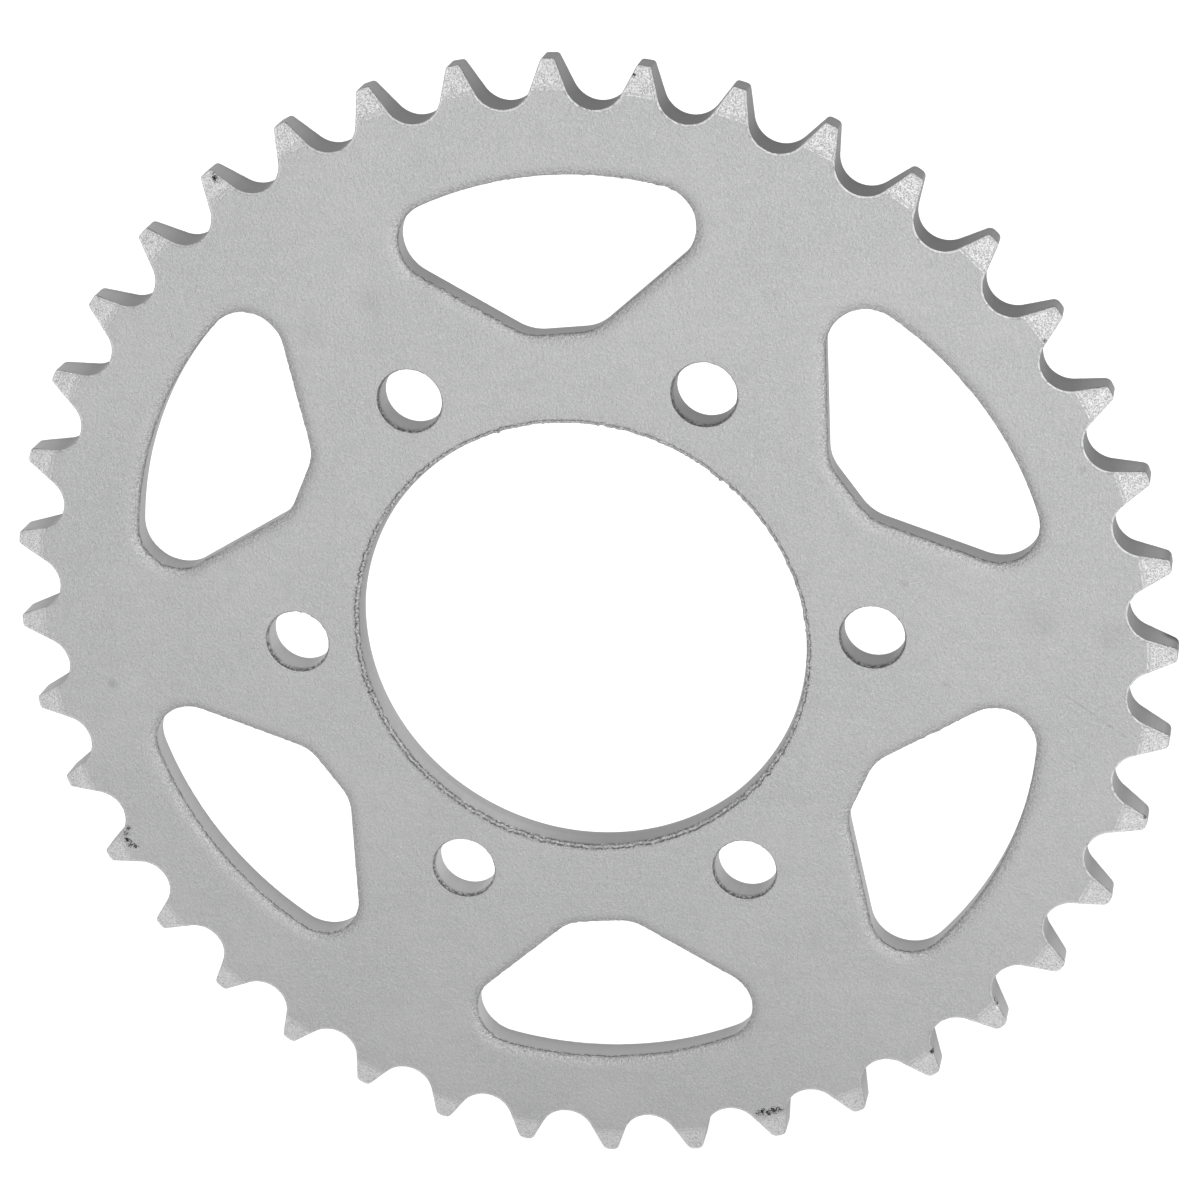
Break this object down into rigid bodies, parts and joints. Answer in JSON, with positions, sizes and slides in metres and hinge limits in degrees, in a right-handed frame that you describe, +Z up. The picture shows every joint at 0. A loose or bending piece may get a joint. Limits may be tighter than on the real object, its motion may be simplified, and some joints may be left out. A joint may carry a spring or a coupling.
{
  "type": "motorcycle rear chain sprocket",
  "caption": "Flat toothed steel disc with a large centre bore, a ring of bolt holes and rounded lightening windows; carries a motorcycle's drive chain on its rear wheel.",
  "frame": {"origin": "centre of the bore, halfway through the plate's thickness", "axes": "+Y along the wheel axle from the outboard face to the inboard face, +Z up, and +X towards the first bolt hole"},
  "size_m": [0.2082, 0.0072, 0.2082],
  "materials": {
    "plated_steel": "satin, pale zinc plating over a bead-blasted surface"
  },
  "bodies": {
    "root": {"sprocket_plate": "plated_steel"}
  },
  "joints": []
}
